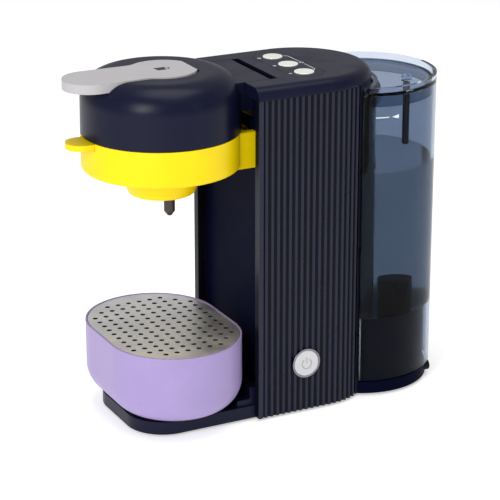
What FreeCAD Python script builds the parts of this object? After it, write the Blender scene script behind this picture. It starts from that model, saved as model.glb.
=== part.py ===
import FreeCAD, Part
import math
import os
import Sketcher

Vec = FreeCAD.Vector
OUT = "parts"
os.makedirs(OUT, exist_ok=True)
doc = FreeCAD.newDocument("pod_coffee_machine")

# ---------------------------------------------------------------- driving dimensions (mm)
# The machine stands on z = 0 and faces -Y.  X = 0 is its plane of symmetry.
DIMENSIONS = {
    # casing
    "body_half_width": 55.5,
    "column_front": -23.0,
    "body_arc_y": 38.5,
    "panel_low": 2.0,
    "panel_high": 252.0,
    "panel_wall": 3.0,
    "rib_radius": 1.5,
    "rib_pitch": 5.0,
    "front_flange": 6.4,
    "cover_high": 261.4,
    "cover_gap": 0.2,
    "cover_wall": 3.0,
    "cover_roll": 8.8,
    "front_cover_y": -16.0,
    # base
    "plinth_front": -116.7,
    "plinth_half_width": 50.6,
    "plinth_high": 12.0,
    "plinth_corner": 30.0,
    "foot_radius": 7.0,
    # brew head
    "head_y": -76.2,
    "head_radius": 59.4,
    "head_draft": 0.4,
    "bracket_low": 196.7,
    "bracket_high": 224.2,
    "arm_half_width": 36.1,
    "arm_wall": 6.0,
    "boss_low": 176.7,
    "boss_radius": 31.5,
    "boss_taper": 6.5,
    "dome_low": 224.7,
    "dome_high": 269.4,
    "dome_shoulder": 20.0,
    "dome_wall": 3.0,
    "neck_half_width": 31.9,
    "neck_rear": -2.2,
    "slot_rear": 4.0,
    "hinge_y": -2.5,
    "hinge_z": 254.0,
    "hinge_pin_radius": 2.5,
    "running_gap": 0.05,
    # lever
    "lever_low": 263.2,
    "lever_high": 270.4,
    "lever_tip": -152.0,
    "lever_tip_radius": 20.3,
    "lever_waist": 19.4,
    "lever_round_y": -74.0,
    "lever_round_radius": 25.5,
    "lever_rear": -52.3,
    "lever_pin_y": -55.5,
    "lever_pin_z": 267.5,
    "lever_pin_radius": 1.2,
    "lever_swing": 1.4,
    "emblem_y": -75.0,
    "emblem_depth": 0.3,
    # capsule adapter and outlet
    "adapter_high": 222.0,
    "adapter_radius": 49.9,
    "tab_half_width": 12.0,
    "tab_tip": -151.5,
    "tab_thick": 4.4,
    "tab_high": 223.8,
    "chamber_radius": 17.5,
    "nozzle_y": -70.0,
    "nozzle_low": 157.0,
    "nozzle_radius": 4.2,
    # drip tray
    "tray_y": -76.8,
    "tray_half_width": 71.0,
    "tray_half_depth": 51.3,
    "tray_low": 12.6,
    "tray_high": 69.6,
    "tray_round": 22.0,
    "tray_wall": 2.4,
    "tray_rim": 1.4,
    "grille_thick": 1.5,
    "hole_radius": 1.95,
    "hole_pitch": 9.0,
    # buttons
    "key_y": 30.0,
    "key_spacing": 25.2,
    "key_radius": 7.6,
    "plate_radius": 14.4,
    "power_y": 17.3,
    "power_z": 41.0,
    "power_radius": 10.2,
    # water tank
    "tank_y": 95.6,
    "tank_radius": 56.4,
    "tank_wall": 2.5,
    "tank_recess": 57.0,
    "tank_low": 14.0,
    "tank_floor": 67.0,
    "tank_high": 243.0,
    "lid_high": 249.3,
    "lid_deck": 243.2,
    "pedestal_radius": 51.5,
    "pedestal_high": 63.0,
    "valve_y": 122.0,
    "gland_x": 30.0,
    "gland_z": 6.8,
    "gland_radius": 4.4,
    # inside
    "frame_wall_x": 36.6,
    "frame_wall": 3.0,
    "frame_high": 249.0,
}

sheet = doc.addObject("Spreadsheet::Sheet", "Dims")
for row, (alias, number) in enumerate(DIMENSIONS.items(), start=1):
    sheet.set(f"A{row}", alias)
    sheet.set(f"B{row}", str(number))
    sheet.setAlias(f"B{row}", alias)
doc.recompute()


class Size:
    """A number together with the sheet expression that gives it."""

    def __init__(self, value, text):
        self.value = value
        self.text = text

    def _join(self, other, sign, flip=False):
        other = as_size(other)
        left, right = (other, self) if flip else (self, other)
        results = {
            "+": lambda: left.value + right.value,
            "-": lambda: left.value - right.value,
            "*": lambda: left.value * right.value,
            "/": lambda: left.value / right.value,
        }
        return Size(results[sign](), f"({left.text} {sign} {right.text})")

    def __add__(self, other):
        return self._join(other, "+")

    def __radd__(self, other):
        return self._join(other, "+", flip=True)

    def __sub__(self, other):
        return self._join(other, "-")

    def __rsub__(self, other):
        return self._join(other, "-", flip=True)

    def __mul__(self, other):
        return self._join(other, "*")

    def __rmul__(self, other):
        return self._join(other, "*", flip=True)

    def __truediv__(self, other):
        return self._join(other, "/")

    def __neg__(self):
        return self._join(0.0, "-", flip=True)


def as_size(number):
    """A plain number as a Size."""
    return number if isinstance(number, Size) else Size(float(number), repr(float(number)))


class Dims:
    """The driving dimensions by name, each bound to its cell."""

    def __init__(self, table):
        for alias, number in table.items():
            setattr(self, alias, Size(number, f"Dims.{alias}"))


D = Dims(DIMENSIONS)
SUBPARTS = []


# ---------------------------------------------------------------- helpers: Part objects
def bind(item, **sizes):
    """Set properties from sizes, bound to the sheet."""
    for prop, size in sizes.items():
        size = as_size(size)
        setattr(item, prop, size.value)
        item.setExpression(prop, size.text)
    return item


def place(item, x=0.0, y=0.0, z=0.0, rotation=None):
    """Put an object at a bound place."""
    place_sizes = [as_size(x), as_size(y), as_size(z)]
    item.Placement = FreeCAD.Placement(
        Vec(*[size.value for size in place_sizes]), rotation or FreeCAD.Rotation()
    )
    for axis, size in zip("xyz", place_sizes):
        item.setExpression(f"Placement.Base.{axis}", size.text)
    return item


ALONG_X = FreeCAD.Rotation(Vec(0, 1, 0), 90)
ALONG_Y = FreeCAD.Rotation(Vec(1, 0, 0), -90)


def box(x, y, z):
    """A box between bound limits: each argument is a (low, high) pair."""
    item = doc.addObject("Part::Box", "box")
    bind(item, Length=x[1] - as_size(x[0]), Width=y[1] - as_size(y[0]), Height=z[1] - as_size(z[0]))
    return place(item, x[0], y[0], z[0])


def slab(half_width, y, z):
    """A box that is symmetric about X = 0."""
    half_width = as_size(half_width)
    return box((-half_width, half_width), y, z)


def cylinder(radius, y, z, x=0.0):
    """An upright cylinder between two heights."""
    item = doc.addObject("Part::Cylinder", "cylinder")
    bind(item, Radius=radius, Height=z[1] - as_size(z[0]))
    return place(item, x, y, z[0])


def rod(radius, x, y, z):
    """A cylinder along X between two limits."""
    item = doc.addObject("Part::Cylinder", "rod")
    bind(item, Radius=radius, Height=x[1] - as_size(x[0]))
    return place(item, x[0], y, z, ALONG_X)


def bar(radius, x, y, z):
    """A cylinder along Y between two limits."""
    item = doc.addObject("Part::Cylinder", "bar")
    bind(item, Radius=radius, Height=y[1] - as_size(y[0]))
    return place(item, x, y[0], z, ALONG_Y)


def cone(low_radius, high_radius, y, z, x=0.0):
    """An upright cone between two heights."""
    item = doc.addObject("Part::Cone", "cone")
    bind(item, Radius1=low_radius, Radius2=high_radius, Height=z[1] - as_size(z[0]))
    return place(item, x, y, z[0])


def fuse(*items):
    """All the items as one solid."""
    item = doc.addObject("Part::MultiFuse", "joined")
    item.Shapes = list(items)
    item.Refine = True
    return item


def group(*items):
    """Separate solids of one kind, in one object."""
    item = doc.addObject("Part::Compound", "group")
    item.Links = list(items)
    return item


def cut(base, *tools):
    """The base with every tool taken out of it."""
    item = doc.addObject("Part::Cut", "trimmed")
    item.Base = base
    item.Tool = tools[0] if len(tools) == 1 else group(*tools)
    item.Refine = True
    return item


def rounded(base, radius, choose):
    """The base with a fillet on every edge that choose accepts."""
    doc.recompute()
    radius = as_size(radius)
    item = doc.addObject("Part::Fillet", "rounded")
    item.Base = base
    item.Edges = [
        (number, radius.value, radius.value)
        for number, edge in enumerate(base.Shape.Edges, start=1)
        if choose(edge)
    ]
    return item


def level_edge(height, tolerance=0.01):
    """An edge test: the whole edge lies at one height."""
    height = as_size(height).value

    def test(edge):
        limits = edge.BoundBox
        return abs(limits.ZMin - height) < tolerance and abs(limits.ZMax - height) < tolerance

    return test


def keep(item, label):
    """Name a finished sub-part."""
    item.Label = label
    SUBPARTS.append(item)
    return item


# ---------------------------------------------------------------- helpers: PartDesign
def new_body(label, x=0.0, y=0.0, z=0.0):
    """A body with its own origin at a bound place."""
    body = doc.addObject("PartDesign::Body", label)
    place(body, x, y, z)
    return body


def plane_of(body, role):
    """One of the body's own origin planes or axes."""
    return next(item for item in body.Origin.OriginFeatures if item.Role == role)


def new_sketch(body, role="XY_Plane", offset=0.0):
    """An empty sketch on one of the body's planes, moved out by a bound offset."""
    sketch = body.newObject("Sketcher::SketchObject", "sketch")
    sketch.AttachmentSupport = [(plane_of(body, role), "")]
    sketch.MapMode = "FlatFace"
    offset = as_size(offset)
    sketch.AttachmentOffset = FreeCAD.Placement(Vec(0, 0, offset.value), FreeCAD.Rotation())
    sketch.setExpression("AttachmentOffset.Base.z", offset.text)
    return sketch


def constrain(sketch, kind, *what):
    """Add one constraint; a Size at the end is bound to the sheet."""
    size = what[-1]
    if isinstance(size, Size):
        number = sketch.addConstraint(Sketcher.Constraint(kind, *what[:-1], size.value))
        sketch.setExpression(f"Constraints[{number}]", size.text)
    else:
        number = sketch.addConstraint(Sketcher.Constraint(kind, *what))
    return number


START, END, CENTRE = 1, 2, 3


def pin_point(sketch, edge, point, x, y):
    """Hold one point of an edge at a bound place."""
    constrain(sketch, "DistanceX", -1, START, edge, point, as_size(x))
    constrain(sketch, "DistanceY", -1, START, edge, point, as_size(y))


def draw_circle(sketch, x, y, radius):
    """A circle at a bound place with a bound radius."""
    x, y, radius = as_size(x), as_size(y), as_size(radius)
    circle = Part.Circle(Vec(x.value, y.value, 0), Vec(0, 0, 1), radius.value)
    edge = sketch.addGeometry(circle, False)
    pin_point(sketch, edge, CENTRE, x, y)
    constrain(sketch, "Radius", edge, radius)


def draw_outline(sketch, corners):
    """A closed outline of straight runs; a corner may carry the bulge of the arc that follows it.

    Each corner is (x, y) or (x, y, (centre x, centre y, turn)), where turn is +1 for an arc that
    runs anticlockwise to the next corner and -1 for clockwise.
    """
    first = None
    last = None
    for number, corner in enumerate(corners):
        following = corners[(number + 1) % len(corners)]
        x, y = as_size(corner[0]), as_size(corner[1])
        next_x, next_y = as_size(following[0]), as_size(following[1])
        start_point, end_point = START, END
        if len(corner) == 3:
            centre_x, centre_y, turn = as_size(corner[2][0]), as_size(corner[2][1]), corner[2][2]
            radius = math.hypot(x.value - centre_x.value, y.value - centre_y.value)
            start = math.atan2(y.value - centre_y.value, x.value - centre_x.value)
            end = math.atan2(next_y.value - centre_y.value, next_x.value - centre_x.value)
            if turn < 0:
                start, end = end, start
                start_point, end_point = END, START
            circle = Part.Circle(Vec(centre_x.value, centre_y.value, 0), Vec(0, 0, 1), radius)
            edge = sketch.addGeometry(Part.ArcOfCircle(circle, start, end), False)
        else:
            line = Part.LineSegment(Vec(x.value, y.value, 0), Vec(next_x.value, next_y.value, 0))
            edge = sketch.addGeometry(line, False)
        pin_point(sketch, edge, start_point, x, y)
        if last is not None:
            constrain(sketch, "Coincident", last[0], last[1], edge, start_point)
        if first is None:
            first = (edge, start_point)
        last = (edge, end_point)
    constrain(sketch, "Coincident", last[0], last[1], first[0], first[1])


def pad(body, sketch, length):
    """Pad a sketch by a bound length along its normal."""
    feature = body.newObject("PartDesign::Pad", "pad")
    feature.Profile = sketch
    bind(feature, Length=length)
    return feature


def pocket(body, sketch, length, reverse=False):
    """Pocket a sketch by a bound length and make sure that it cuts."""
    doc.recompute()
    before = body.Shape.Volume
    feature = body.newObject("PartDesign::Pocket", "pocket")
    feature.Profile = sketch
    bind(feature, Length=length)
    feature.Reversed = reverse
    doc.recompute()
    if body.Shape.Volume > before - 0.01:
        raise RuntimeError(f"a pocket of {body.Label} cuts nothing")
    return feature


def edge_names(shape, choose):
    """The names of the edges that a test accepts."""
    return [f"Edge{number}" for number, edge in enumerate(shape.Edges, start=1) if choose(edge)]


def fillet(body, radius, choose):
    """Round the chosen edges of a body's tip."""
    doc.recompute()
    tip = body.Tip
    feature = body.newObject("PartDesign::Fillet", "fillet")
    feature.Base = (tip, edge_names(tip.Shape, choose))
    return bind(feature, Radius=radius)


def hollow(body, wall, choose):
    """Turn a body into a shell that is open at the chosen faces."""
    doc.recompute()
    tip = body.Tip
    faces = [f"Face{number}" for number, face in enumerate(tip.Shape.Faces, start=1) if choose(face)]
    feature = body.newObject("PartDesign::Thickness", "shell")
    feature.Base = (tip, faces)
    feature.Reversed = True
    feature.Join = 1
    return bind(feature, Value=wall)


# ---------------------------------------------------------------- casing
def front_rounded(half_width, radius_y, front, corner):
    """Plan of the base: rounded front corners, straight sides and a half-round rear."""
    return [
        (-half_width, radius_y, (0.0, radius_y, -1)),
        (half_width, radius_y),
        (half_width, front + corner, (half_width - corner, front + corner, -1)),
        (half_width - corner, front),
        (corner - half_width, front, (corner - half_width, front + corner, -1)),
        (-half_width, front + corner),
    ]


def base_plinth():
    """The low base under the tray and the column, with two steps beside the tray."""
    body = new_body("plinth_blank")
    plan = new_sketch(body, offset=D.panel_low)
    draw_outline(
        plan, front_rounded(D.plinth_half_width, D.body_arc_y, D.plinth_front, D.plinth_corner)
    )
    pad(body, plan, D.plinth_high - D.panel_low)
    inner = new_sketch(body, offset=D.panel_low)
    draw_outline(
        inner,
        front_rounded(
            D.plinth_half_width - 3.0, D.body_arc_y, D.plinth_front + 3.0, D.plinth_corner - 3.0
        ),
    )
    pocket(body, inner, D.plinth_high - D.panel_low - 3.0, reverse=True)
    steps = [
        box((side * 44.0 - 4.5, side * 44.0 + 4.5), (front, -13.2), (D.plinth_high, high))
        for side in (-1, 1)
        for front, high in ((-38.0, 17.0), (-27.0, 26.0))
    ]
    flange = D.body_half_width - D.front_flange - 0.2
    flange_y = (D.column_front - 0.2, D.column_front + 3.2)
    notches = [box(x, flange_y, (0.0, 30.0)) for x in ((flange, 60.0), (-60.0, -flange))]
    keep(cut(fuse(body, *steps), *notches), "base_plinth")


def bottom_plate():
    """The cover that closes the plinth from below."""
    body = new_body("bottom_plate")
    plan = new_sketch(body, offset=D.panel_low + 0.2)
    draw_outline(
        plan,
        front_rounded(
            D.plinth_half_width - 3.3, D.body_arc_y, D.plinth_front + 3.3, D.plinth_corner - 3.3
        ),
    )
    pad(body, plan, 2.0)
    keep(body, "bottom_plate")


def rubber_feet():
    """Four feet that carry the machine."""
    feet = [
        cylinder(D.foot_radius, y, (0.0, D.panel_low + 0.2), x=side * 31.0)
        for side in (-1, 1)
        for y in (-92.0, 62.0)
    ]
    keep(group(*feet), "rubber_feet")


STRAIGHT_RIBS = 11
CURVED_RIBS = 6
RIB_TURN = 26.5
PANEL_END_TURN = 29.0


def side_panel(label, side):
    """A ribbed side panel; side is +1 on the right and -1 on the left."""
    body = new_body("panel_blank", y=D.body_arc_y)
    outer = D.body_half_width - D.rib_radius
    inner = outer - D.panel_wall
    front = D.column_front - D.body_arc_y
    turn = math.radians(PANEL_END_TURN)
    flange = D.body_half_width - D.front_flange
    plan = new_sketch(body, offset=D.panel_low)
    corners = [
        (side * flange, front),
        (side * D.body_half_width, front),
        (side * D.body_half_width, front + 3.6),
        (side * outer, front + 3.6),
        (side * outer, 0.0, (0.0, 0.0, side)),
        (side * math.cos(turn) * outer, math.sin(turn) * outer),
        (side * math.cos(turn) * inner, math.sin(turn) * inner, (0.0, 0.0, -side)),
        (side * inner, 0.0),
        (side * inner, front + 3.0),
        (side * flange, front + 3.0),
    ]
    draw_outline(plan, corners)
    pad(body, plan, D.panel_high - D.panel_low)
    for count, y, turn_step in ((STRAIGHT_RIBS, front + 6.5, 0.0), (CURVED_RIBS, 0.0, RIB_TURN)):
        rib = new_sketch(body, offset=D.panel_low)
        draw_circle(rib, side * outer, y, D.rib_radius)
        feature = pad(body, rib, D.panel_high - D.panel_low)
        doc.recompute()
        if turn_step:
            pattern = body.newObject("PartDesign::PolarPattern", "ribs")
            pattern.Axis = (plane_of(body, "Z_Axis"), [""])
            pattern.Angle = turn_step
            pattern.Reversed = side < 0
            # The pattern's angle spans all its ribs.
            pattern.Mode = 0
        else:
            pattern = body.newObject("PartDesign::LinearPattern", "ribs")
            pattern.Direction = (plane_of(body, "Y_Axis"), [""])
            bind(pattern, Length=D.rib_pitch * (count - 1))
        pattern.Originals = [feature]
        pattern.Occurrences = count
        body.Tip = pattern
        doc.recompute()
    if side < 0:
        return keep(body, label)
    hole = rod(D.power_radius + 1.5, (40.0, 60.0), D.power_y, D.power_z)
    return keep(cut(body, hole), label)


def sector(low_radius, high_radius, z, turn):
    """An upright arc of wall about the casing's rear centre, open towards the front."""
    ring = cut(cylinder(high_radius, D.body_arc_y, z), cylinder(low_radius, D.body_arc_y, z))
    reach = D.body_arc_y + D.body_half_width * math.sin(math.radians(turn))
    return cut(ring, slab(D.body_half_width + 5.0, (-60.0, reach), z))


def rear_cover():
    """The smooth rear of the column, which the tank wraps round."""
    shell = sector(D.plinth_half_width + 1.0, D.body_half_width - 0.5, (D.panel_low, D.panel_high), 29.6)
    inlet = bar(5.0, 0.0, (80.0, 100.0), 32.0)
    screws = [bar(1.6, x, (80.0, 100.0), z) for x in (-18.0, 18.0) for z in (90.0, 236.0)]
    keep(cut(shell, inlet, *screws), "rear_cover")


def top_cover():
    """The rolled top shell with the head's cut-out, the hinge slot and the key plate's seat."""
    body = new_body("top_cover")
    low = D.panel_high + D.cover_gap
    plan = new_sketch(body, offset=low)
    draw_outline(
        plan,
        [
            (-D.body_half_width, D.body_arc_y, (0.0, D.body_arc_y, -1)),
            (D.body_half_width, D.body_arc_y),
            (D.body_half_width, D.column_front),
            (-D.body_half_width, D.column_front),
        ],
    )
    pad(body, plan, D.cover_high - low)
    top_edge = level_edge(D.cover_high)
    front = D.column_front.value
    fillet(body, D.cover_roll, lambda edge: top_edge(edge) and edge.BoundBox.YMax > front + 0.1)
    bottom = low.value
    hollow(body, D.cover_wall, lambda face: face.BoundBox.ZMax < bottom + 0.01)
    opening = new_sketch(body, offset=D.cover_high + 1.0)
    wide = D.neck_half_width + 0.5
    rear = D.slot_rear
    draw_outline(
        opening,
        [(-wide, D.column_front - 1.0), (wide, D.column_front - 1.0), (wide, rear), (-wide, rear)],
    )
    pocket(body, opening, 20.0)
    seat = new_sketch(body, offset=D.cover_high + 1.0)
    reach = D.plate_radius + 0.3
    draw_outline(
        seat,
        [
            (D.key_spacing, D.key_y + reach, (D.key_spacing, D.key_y, -1)),
            (D.key_spacing, D.key_y - reach),
            (-D.key_spacing, D.key_y - reach, (-D.key_spacing, D.key_y, -1)),
            (-D.key_spacing, D.key_y + reach),
        ],
    )
    pocket(body, seat, 12.0)
    keep(body, "top_cover")


def key_plate():
    """The inset plate that guides the three keys."""
    low, high = D.cover_high - D.cover_wall, D.cover_high
    ends = [cylinder(D.plate_radius, D.key_y, (low, high), x=side * D.key_spacing) for side in (-1, 1)]
    middle = slab(D.key_spacing, (D.key_y - D.plate_radius, D.key_y + D.plate_radius), (low, high))
    holes = [
        cylinder(D.key_radius + 0.3, D.key_y, (low - 1.0, high + 1.0), x=place_x)
        for place_x in (-D.key_spacing, 0.0, D.key_spacing)
    ]
    keep(cut(fuse(middle, *ends), *holes), "key_plate")


def column_front_cover():
    """The recessed dark face of the column, open for the neck and the bracket's arms."""
    low, high = 30.0, D.panel_high - 3.0
    y = (D.front_cover_y, D.front_cover_y + 3.0)
    face = slab(D.body_half_width - D.front_flange - 0.3, y, (low, high))
    beyond = (D.front_cover_y - 1.0, D.front_cover_y + 4.0)
    neck = slab(D.neck_half_width + 0.8, beyond, (232.0, high + 1.0))
    arms = slab(D.arm_half_width + 0.3, beyond, (D.bracket_low - 0.3, D.bracket_high + 0.3))
    keep(cut(face, neck, arms), "column_front_cover")


def tank_pedestal():
    """The round seat behind the column that the tank's skirt slips over."""
    whole = cylinder(D.pedestal_radius, D.tank_y, (D.plinth_high - 4.0, D.pedestal_high))
    flange = cylinder(D.pedestal_radius + 2.5, D.tank_y, (D.panel_low, D.plinth_high - 0.5))
    inner = cylinder(D.pedestal_radius - 3.0, D.tank_y, (D.panel_low + 3.0, D.pedestal_high - 3.0))
    column = cylinder(D.body_half_width - 0.2, D.body_arc_y, (-5.0, D.pedestal_high + 5.0))
    front = slab(60.0, (-20.0, D.body_arc_y + 26.9), (-5.0, D.pedestal_high + 5.0))
    socket = cylinder(9.2, D.valve_y, (D.pedestal_high - 5.0, D.pedestal_high + 1.0))
    gland = bar(D.gland_radius, D.gland_x, (130.0, 150.0), D.gland_z)
    vents = [cylinder(2.0, D.tank_y + 30.0, (0.0, 6.0), x=x) for x in (-16.0, 0.0, 16.0)]
    keep(cut(fuse(whole, flange), inner, column, front, socket, gland, *vents), "tank_pedestal")


def bracket_bolts():
    """Four bolts through the chassis cheeks into the bracket's arms."""
    outer = D.frame_wall_x + D.frame_wall + 0.2
    inner = D.arm_half_width - 4.7
    spans = ((inner, outer), (-outer, -inner))
    return [rod(1.5, span, 6.0, z) for span in spans for z in (203.0, 217.0)]


def chassis():
    """The inner frame: a floor, two cheeks with ears for the hinge pin, and a cross wall."""
    cheek = (D.frame_wall_x, D.frame_wall_x + D.frame_wall)
    floor = slab(cheek[0] + 1.0, (-10.0, 68.0), (D.plinth_high + 0.2, D.plinth_high + 3.2))
    pieces = [floor, slab(cheek[0] + 1.0, (15.0, 17.5), (100.0, 112.0))]
    for side in (-1, 1):
        x = (cheek[0], cheek[1]) if side > 0 else (-cheek[1], -cheek[0])
        pieces.append(box(x, (-10.0, 68.0), (D.plinth_high + 0.2, D.frame_high)))
        pieces.append(box(x, (-9.0, 5.0), (D.frame_high - 1.0, D.cover_high - D.cover_wall - 0.4)))
    pin = rod(D.hinge_pin_radius, (-50.0, 50.0), D.hinge_y, D.hinge_z)
    keep(cut(fuse(*pieces), pin, *bracket_bolts()), "chassis")


# ---------------------------------------------------------------- brew bracket (fixed)
def capsule_bracket():
    """The yellow ring with its arms, the boss below and the seats for the adapter and spout."""
    low, high = D.bracket_low, D.bracket_high
    ring = cylinder(D.head_radius, D.head_y, (low, high))
    arms = slab(D.arm_half_width, (D.head_y, 12.0), (low, high))
    between = slab(D.arm_half_width - D.arm_wall, (-22.0, 13.0), (low - 1.0, high + 1.0))
    boss = cone(D.boss_radius - D.boss_taper, D.boss_radius, D.head_y, (D.boss_low, low + 1.0))
    boss = rounded(boss, 2.5, level_edge(D.boss_low))
    lug = box((-5.0, 5.0), (D.head_y + 26.0, D.head_y + 37.5), (low - 7.0, low + 1.0))
    seat = cylinder(D.adapter_radius + 0.4, D.head_y, (D.adapter_high - 6.8, high + 1.0))
    bore = cylinder(21.2, D.head_y, (low - 12.0, high))
    spout = cylinder(D.nozzle_radius, D.nozzle_y, (D.boss_low - 1.0, low))
    notch = slab(
        D.tab_half_width + 0.6,
        (D.head_y - D.head_radius - 2.0, D.head_y - 40.0),
        (D.tab_high - D.tab_thick - 0.6, high + 1.0),
    )
    whole = cut(fuse(ring, arms, boss, lug), between, seat, bore, spout, notch, *bracket_bolts())
    rim = level_edge(low)
    reach = D.head_radius.value - 5.0
    centre_y = D.head_y.value

    def outer_rim(edge):
        return rim(edge) and edge.BoundBox.YMin < centre_y - reach

    keep(rounded(whole, 3.0, outer_rim), "capsule_bracket")


def capsule_adapter():
    """The round tray for the capsule, with its front tab and its cup."""
    high = D.adapter_high
    disc = cylinder(D.adapter_radius, D.head_y, (high - 6.4, high))
    cup = cylinder(D.chamber_radius + 3.1, D.head_y, (high - 34.0, high - 5.0))
    tab_y = D.tab_tip + D.tab_half_width
    tab_span = (D.tab_high - D.tab_thick, D.tab_high)
    tab = slab(D.tab_half_width, (tab_y, D.head_y - 45.0), tab_span)
    tip = cylinder(D.tab_half_width, tab_y, tab_span)
    chamber = cylinder(D.chamber_radius, D.head_y, (high - 31.0, high + 1.0))
    outlet = cylinder(3.0, D.head_y, (high - 40.0, high - 30.0))
    keep(cut(fuse(disc, cup, tab, tip), chamber, outlet), "capsule_adapter")


def outlet_nozzle():
    """The dark spout under the boss."""
    tube = cylinder(D.nozzle_radius, D.nozzle_y, (D.nozzle_low + 3.5, D.bracket_low - 12.4))
    tip = cone(1.6, D.nozzle_radius, D.nozzle_y, (D.nozzle_low, D.nozzle_low + 3.5))
    way = cylinder(1.2, D.nozzle_y, (D.nozzle_low - 1.0, D.bracket_low))
    keep(cut(fuse(tube, tip), way), "outlet_nozzle")


# ---------------------------------------------------------------- moving head
def lever_plan(grow, low, high, label):
    """A body with the lever's outline, grown all round by a gap."""
    body = new_body(label)
    plan = new_sketch(body, offset=low)
    radius = D.lever_round_radius + grow
    waist = D.lever_waist + grow
    tip_radius = D.lever_tip_radius + grow
    tip_y = D.lever_tip + D.lever_tip_radius
    rear = D.lever_rear + (grow * 3.2)
    chord = math.sqrt(radius.value**2 - (rear.value - D.lever_round_y.value) ** 2)
    join = math.sqrt(radius.value**2 - waist.value**2)
    draw_outline(
        plan,
        [
            (-chord, rear),
            (chord, rear, (0.0, D.lever_round_y, -1)),
            (waist, D.lever_round_y - join),
            (tip_radius, tip_y, (0.0, tip_y, -1)),
            (-tip_radius, tip_y),
            (-waist, D.lever_round_y - join, (0.0, D.lever_round_y, -1)),
        ],
    )
    pad(body, plan, high - low)
    y = D.lever_round_y.value - join
    fillet(
        body,
        14.0,
        lambda edge: edge.BoundBox.ZLength > 1.0
        and abs(edge.BoundBox.YMin - y) < 0.1
        and edge.BoundBox.YLength < 0.1,
    )
    doc.recompute()
    return body


def head_shell():
    """The dome and its neck, hollow below, with the lever's pocket and the hinge knuckle."""
    high = D.dome_high
    dome = cone(D.head_radius, D.head_radius - D.head_draft, D.head_y, (D.dome_low, high))
    dome = rounded(dome, D.dome_shoulder, level_edge(high))
    neck_low = D.hinge_z - 14.0
    neck = slab(D.neck_half_width, (D.head_y + 20.0, D.neck_rear - 8.0), (neck_low, D.cover_high))
    plate = slab(
        D.neck_half_width, (D.neck_rear - 9.0, D.neck_rear), (D.hinge_z + 1.0, D.cover_high)
    )
    knuckle = rod(5.5, (-D.neck_half_width, D.neck_half_width), D.hinge_y, D.hinge_z)
    solid = fuse(dome, neck, plate, knuckle)
    wall = D.dome_wall
    inner = cylinder(D.head_radius - wall, D.head_y, (D.dome_low - 1.0, high - 12.0))
    inner = rounded(inner, D.dome_shoulder - 6.0, level_edge(high - 12.0))
    neck_inner = slab(
        D.neck_half_width - wall, (D.head_y, D.neck_rear - 12.0), (neck_low - 1.0, D.cover_high - wall)
    )
    behind = slab(D.head_radius, (D.front_cover_y - 4.0, 10.0), (D.dome_low - 1.0, neck_low))
    lever_pocket = lever_plan(0.5, D.lever_low - 1.2, high + 3.0, "lever_pocket")
    swing_y = D.lever_round_y + D.lever_swing
    swing_room = cut(
        cylinder(D.lever_round_radius + 0.5, swing_y, (D.lever_low - 1.2, high + 3.0)),
        slab(40.0, (swing_y - 60.0, swing_y), (D.lever_low - 2.0, high + 4.0)),
        slab(40.0, (D.lever_rear + 1.6, D.lever_rear + 30.0), (D.lever_low - 2.0, high + 4.0)),
    )
    hinge_bore = rod(D.hinge_pin_radius + D.running_gap, (-60.0, 60.0), D.hinge_y, D.hinge_z)
    lever_bore = rod(D.lever_pin_radius, (-24.0, 24.0), D.lever_pin_y, D.lever_pin_z)
    keep(
        cut(
            solid, inner, neck_inner, behind, lever_pocket, swing_room, hinge_bore, lever_bore
        ),
        "head_shell",
    )


def lever():
    """The flat opening lever that lies in the dome's pocket."""
    plan = lever_plan(0.0, D.lever_low, D.lever_high, "lever_blank")
    bore = rod(
        D.lever_pin_radius + D.running_gap, (-26.0, 26.0), D.lever_pin_y, D.lever_pin_z
    )
    low = D.lever_high - D.emblem_depth
    badge = new_body("emblem_cup")
    sketch = new_sketch(badge, offset=low)
    y = D.emblem_y
    draw_outline(
        sketch,
        [(-4.0, y - 5.2), (3.6, y - 4.0), (3.6, y + 2.6), (-4.0, y + 3.8)],
    )
    pad(badge, sketch, 2.0)
    ring_span = (low, D.lever_high + 1.0)
    ring = cut(
        cylinder(3.2, y + 3.6, ring_span, x=-0.4),
        cylinder(2.0, y + 3.6, (low - 1.0, D.lever_high + 2.0), x=-0.4),
    )
    keep(cut(plan, bore, badge, ring), "lever")


def head_inside():
    """What the head carries: its pins, underplate, injection block, plate and seal."""
    keep(rod(D.lever_pin_radius, (-23.5, 23.5), D.lever_pin_y, D.lever_pin_z), "lever_pin")
    plate = cylinder(D.head_radius - D.dome_wall - 0.3, D.head_y, (D.dome_low + 0.4, D.dome_low + 2.9))
    opening = cylinder(21.0, D.head_y, (D.dome_low - 1.0, D.dome_low + 5.0))
    behind = slab(D.head_radius, (D.front_cover_y - 8.0, 10.0), (D.dome_low - 1.0, D.dome_low + 5.0))
    keep(cut(plate, opening, behind), "head_underplate")
    block = cylinder(20.5, D.head_y, (D.dome_low + 2.0, D.dome_low + 18.0))
    nipple = bar(3.0, 0.0, (D.head_y + 19.0, D.head_y + 30.0), D.dome_low + 12.0)
    keep(fuse(block, nipple), "injection_block")
    disc = cylinder(15.5, D.head_y, (D.adapter_high - 0.8, D.dome_low + 2.0))
    needles = [
        cone(0.3, 0.9, D.head_y + y, (D.adapter_high - 3.8, D.adapter_high - 0.8), x=x)
        for x, y in ((0.0, 8.0), (6.9, -4.0), (-6.9, -4.0))
    ]
    keep(fuse(disc, *needles), "piercing_plate")
    ring = cylinder(19.8, D.head_y, (D.adapter_high + 0.4, D.dome_low + 2.0))
    keep(cut(ring, cylinder(15.6, D.head_y, (D.adapter_high, D.dome_low + 3.0))), "chamber_seal")


def hinge_pin():
    """The pin that the head swings on, held in the chassis ears."""
    reach = D.frame_wall_x + D.frame_wall
    keep(rod(D.hinge_pin_radius, (-reach, reach), D.hinge_y, D.hinge_z), "head_hinge_pin")


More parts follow.
